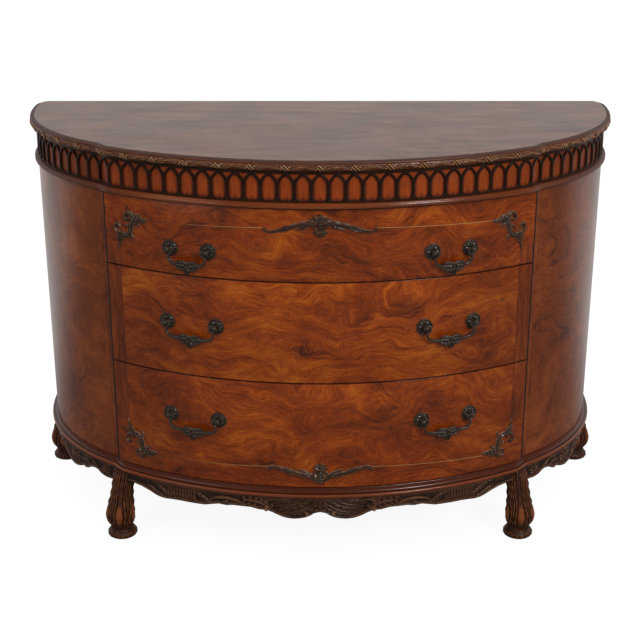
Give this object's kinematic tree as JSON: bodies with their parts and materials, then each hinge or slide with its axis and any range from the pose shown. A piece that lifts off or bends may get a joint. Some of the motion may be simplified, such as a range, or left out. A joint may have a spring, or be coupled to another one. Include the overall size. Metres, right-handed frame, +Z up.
{
  "type": "chest of drawers",
  "caption": "Half-round walnut chest with bow-fronted drawers on bail handles, pierced arched frieze, carved apron and turned carved feet.",
  "frame": {"origin": "on the floor under the middle of the whole object's box", "axes": "+X to the right seen from the front, +Y towards the straight back, +Z up; the front looks along -Y"},
  "size_m": [1.3796, 0.589, 0.914],
  "materials": {
    "drawer_veneer": "figured walnut veneer, glossy lacquer",
    "side_veneer": "plainer walnut veneer, glossy lacquer",
    "top_veneer": "walnut veneer, high gloss",
    "carved_wood": "carved dark walnut, worn satin polish",
    "frieze_ground": "orange-brown veneer behind the fret, satin",
    "moulding": "dark stained walnut moulding, glossy",
    "carcass": "plain pale secondary wood, unpolished",
    "bronze": "antique bronze, darkened with worn highlights"
  },
  "bodies": {
    "case": {"top_panel": "top_veneer", "top_carved_edge": "carved_wood", "frieze_board": "frieze_ground", "frieze_fret": "carved_wood", "waist_moulding": "moulding", "base_moulding": "moulding", "case_floor": "carcass", "back_panel": "carcass", "dust_panel_upper": "carcass", "dust_panel_lower": "carcass", "apron_front": "carved_wood", "side_panel_left": "side_veneer", "partition_left": "moulding", "apron_left": "carved_wood", "side_panel_right": "side_veneer", "partition_right": "moulding", "apron_right": "carved_wood", "foot_front_left": "carved_wood", "foot_back_left": "carved_wood", "foot_front_right": "carved_wood", "foot_back_right": "carved_wood"},
    "drawer_top": {"drawer_top_front": "drawer_veneer", "drawer_top_side_left": "carcass", "drawer_top_side_right": "carcass", "drawer_top_back": "carcass", "drawer_top_bottom": "carcass", "drawer_top_rosette_left_left": "bronze", "drawer_top_rosette_left_right": "bronze", "drawer_top_rosette_right_left": "bronze", "drawer_top_rosette_right_right": "bronze", "cartouche_top": "carved_wood", "corner_top_left": "carved_wood", "corner_top_right": "carved_wood"},
    "drawer_middle": {"drawer_middle_front": "drawer_veneer", "drawer_middle_side_left": "carcass", "drawer_middle_side_right": "carcass", "drawer_middle_back": "carcass", "drawer_middle_bottom": "carcass", "drawer_middle_rosette_left_left": "bronze", "drawer_middle_rosette_left_right": "bronze", "drawer_middle_rosette_right_left": "bronze", "drawer_middle_rosette_right_right": "bronze"},
    "drawer_bottom": {"drawer_bottom_front": "drawer_veneer", "drawer_bottom_side_left": "carcass", "drawer_bottom_side_right": "carcass", "drawer_bottom_back": "carcass", "drawer_bottom_bottom": "carcass", "drawer_bottom_rosette_left_left": "bronze", "drawer_bottom_rosette_left_right": "bronze", "drawer_bottom_rosette_right_left": "bronze", "drawer_bottom_rosette_right_right": "bronze", "cartouche_bottom": "carved_wood", "corner_bottom_left": "carved_wood", "corner_bottom_right": "carved_wood"},
    "drawer_top_bail_left": {"drawer_top_bail_left": "bronze"},
    "drawer_top_bail_right": {"drawer_top_bail_right": "bronze"},
    "drawer_middle_bail_left": {"drawer_middle_bail_left": "bronze"},
    "drawer_middle_bail_right": {"drawer_middle_bail_right": "bronze"},
    "drawer_bottom_bail_left": {"drawer_bottom_bail_left": "bronze"},
    "drawer_bottom_bail_right": {"drawer_bottom_bail_right": "bronze"}
  },
  "joints": [
    {"name": "drawer_top_slide", "type": "slide", "parent": "case", "child": "drawer_top", "axis": [0, -1, 0], "range_m": [0, 0.26]},
    {"name": "drawer_middle_slide", "type": "slide", "parent": "case", "child": "drawer_middle", "axis": [0, -1, 0], "range_m": [0, 0.26]},
    {"name": "drawer_bottom_slide", "type": "slide", "parent": "case", "child": "drawer_bottom", "axis": [0, -1, 0], "range_m": [0, 0.26]},
    {"name": "drawer_top_bail_left_hinge", "type": "hinge", "parent": "drawer_top", "child": "drawer_top_bail_left", "pos_m": [-0.27401, -0.24733, 0.715], "axis": [-0.9462, 0.3236, 0], "range_deg": [-8, 160]},
    {"name": "drawer_top_bail_right_hinge", "type": "hinge", "parent": "drawer_top", "child": "drawer_top_bail_right", "pos_m": [0.27401, -0.24733, 0.715], "axis": [-0.9462, -0.3236, 0], "range_deg": [-8, 160]},
    {"name": "drawer_middle_bail_left_hinge", "type": "hinge", "parent": "drawer_middle", "child": "drawer_middle_bail_left", "pos_m": [-0.27376, -0.2466, 0.552], "axis": [-0.9462, 0.3236, 0], "range_deg": [-8, 160]},
    {"name": "drawer_middle_bail_right_hinge", "type": "hinge", "parent": "drawer_middle", "child": "drawer_middle_bail_right", "pos_m": [0.27376, -0.2466, 0.552], "axis": [-0.9462, -0.3236, 0], "range_deg": [-8, 160]},
    {"name": "drawer_bottom_bail_left_hinge", "type": "hinge", "parent": "drawer_bottom", "child": "drawer_bottom_bail_left", "pos_m": [-0.27376, -0.2466, 0.338], "axis": [-0.9462, 0.3236, 0], "range_deg": [-8, 160]},
    {"name": "drawer_bottom_bail_right_hinge", "type": "hinge", "parent": "drawer_bottom", "child": "drawer_bottom_bail_right", "pos_m": [0.27376, -0.2466, 0.338], "axis": [-0.9462, -0.3236, 0], "range_deg": [-8, 160]}
  ]
}
